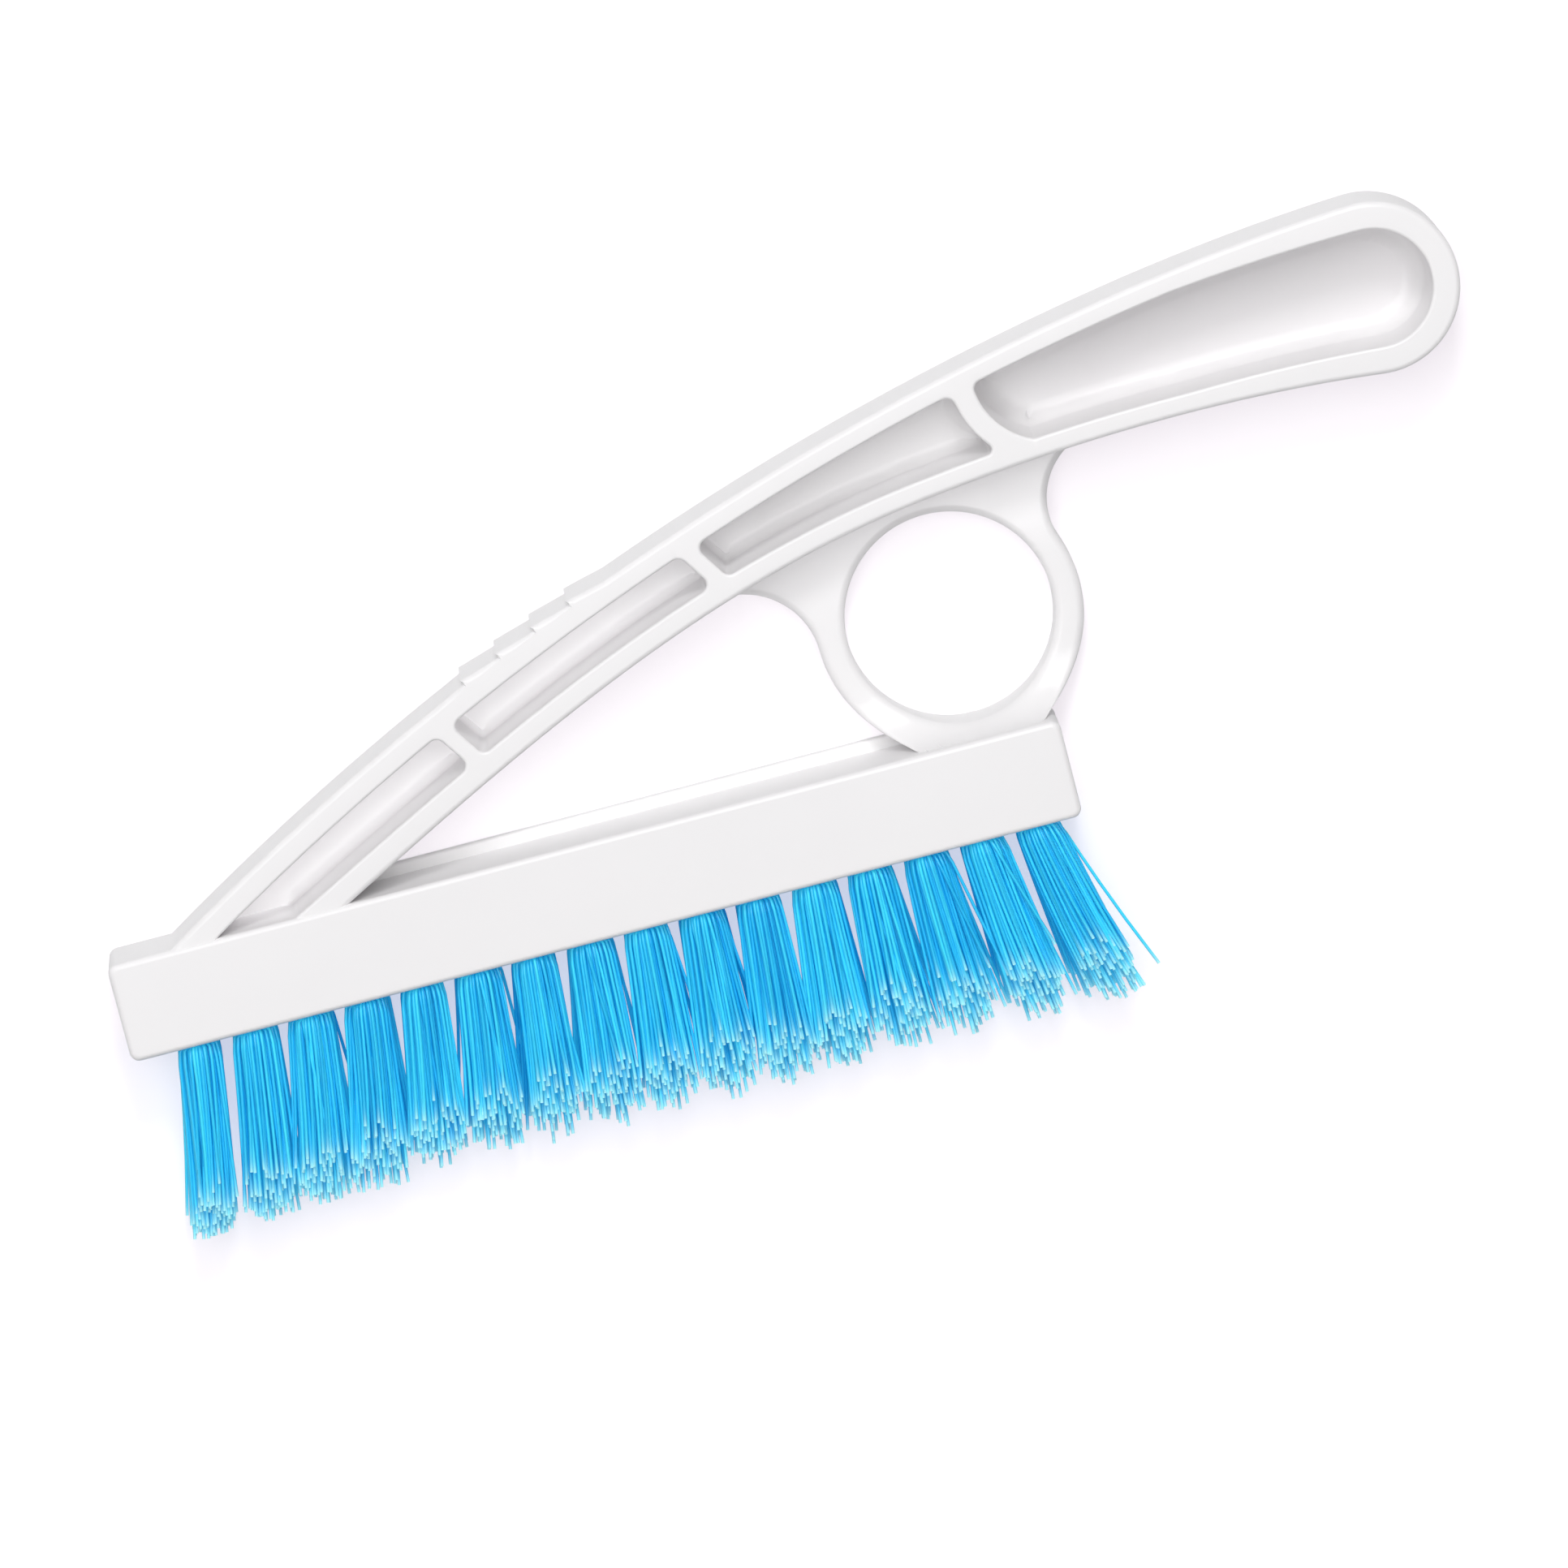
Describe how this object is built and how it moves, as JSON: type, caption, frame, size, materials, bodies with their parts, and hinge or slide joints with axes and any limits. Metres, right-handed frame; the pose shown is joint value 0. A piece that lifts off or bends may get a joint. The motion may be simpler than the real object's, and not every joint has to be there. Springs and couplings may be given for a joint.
{
  "type": "grout brush",
  "caption": "Long narrow scrubbing brush: a straight block with stapled bristle tufts, a curved open-channel handle that rises from its toe, and a finger ring over its heel.",
  "frame": {"origin": "centre of the bristle block's flat back face, which lies on the floor", "axes": "+X along the block towards the heel and the end of the handle, +Y from the bristle tips towards the handle, +Z from the flat back to the open front of the channel"},
  "size_m": [0.2299, 0.1134, 0.016],
  "materials": {
    "white_plastic": "smooth moulded polypropylene, semi-gloss",
    "blue_bristle": "stiff extruded filament, slightly translucent",
    "anchor_metal": "cut flat wire"
  },
  "bodies": {
    "root": {"handle_body": "white_plastic", "tuft_front_01": "blue_bristle", "tuft_front_02": "blue_bristle", "tuft_front_03": "blue_bristle", "tuft_front_04": "blue_bristle", "tuft_front_05": "blue_bristle", "tuft_front_06": "blue_bristle", "tuft_front_07": "blue_bristle", "tuft_front_08": "blue_bristle", "tuft_front_09": "blue_bristle", "tuft_front_10": "blue_bristle", "tuft_front_11": "blue_bristle", "tuft_front_12": "blue_bristle", "tuft_front_13": "blue_bristle", "tuft_front_14": "blue_bristle", "tuft_front_15": "blue_bristle", "tuft_front_16": "blue_bristle", "tuft_back_01": "blue_bristle", "tuft_back_02": "blue_bristle", "tuft_back_03": "blue_bristle", "tuft_back_04": "blue_bristle", "tuft_back_05": "blue_bristle", "tuft_back_06": "blue_bristle", "tuft_back_07": "blue_bristle", "tuft_back_08": "blue_bristle", "tuft_back_09": "blue_bristle", "tuft_back_10": "blue_bristle", "tuft_back_11": "blue_bristle", "tuft_back_12": "blue_bristle", "tuft_back_13": "blue_bristle", "tuft_back_14": "blue_bristle", "tuft_back_15": "blue_bristle", "tuft_back_16": "blue_bristle", "anchors_front_row": "anchor_metal", "anchors_back_row": "anchor_metal"}
  },
  "joints": []
}
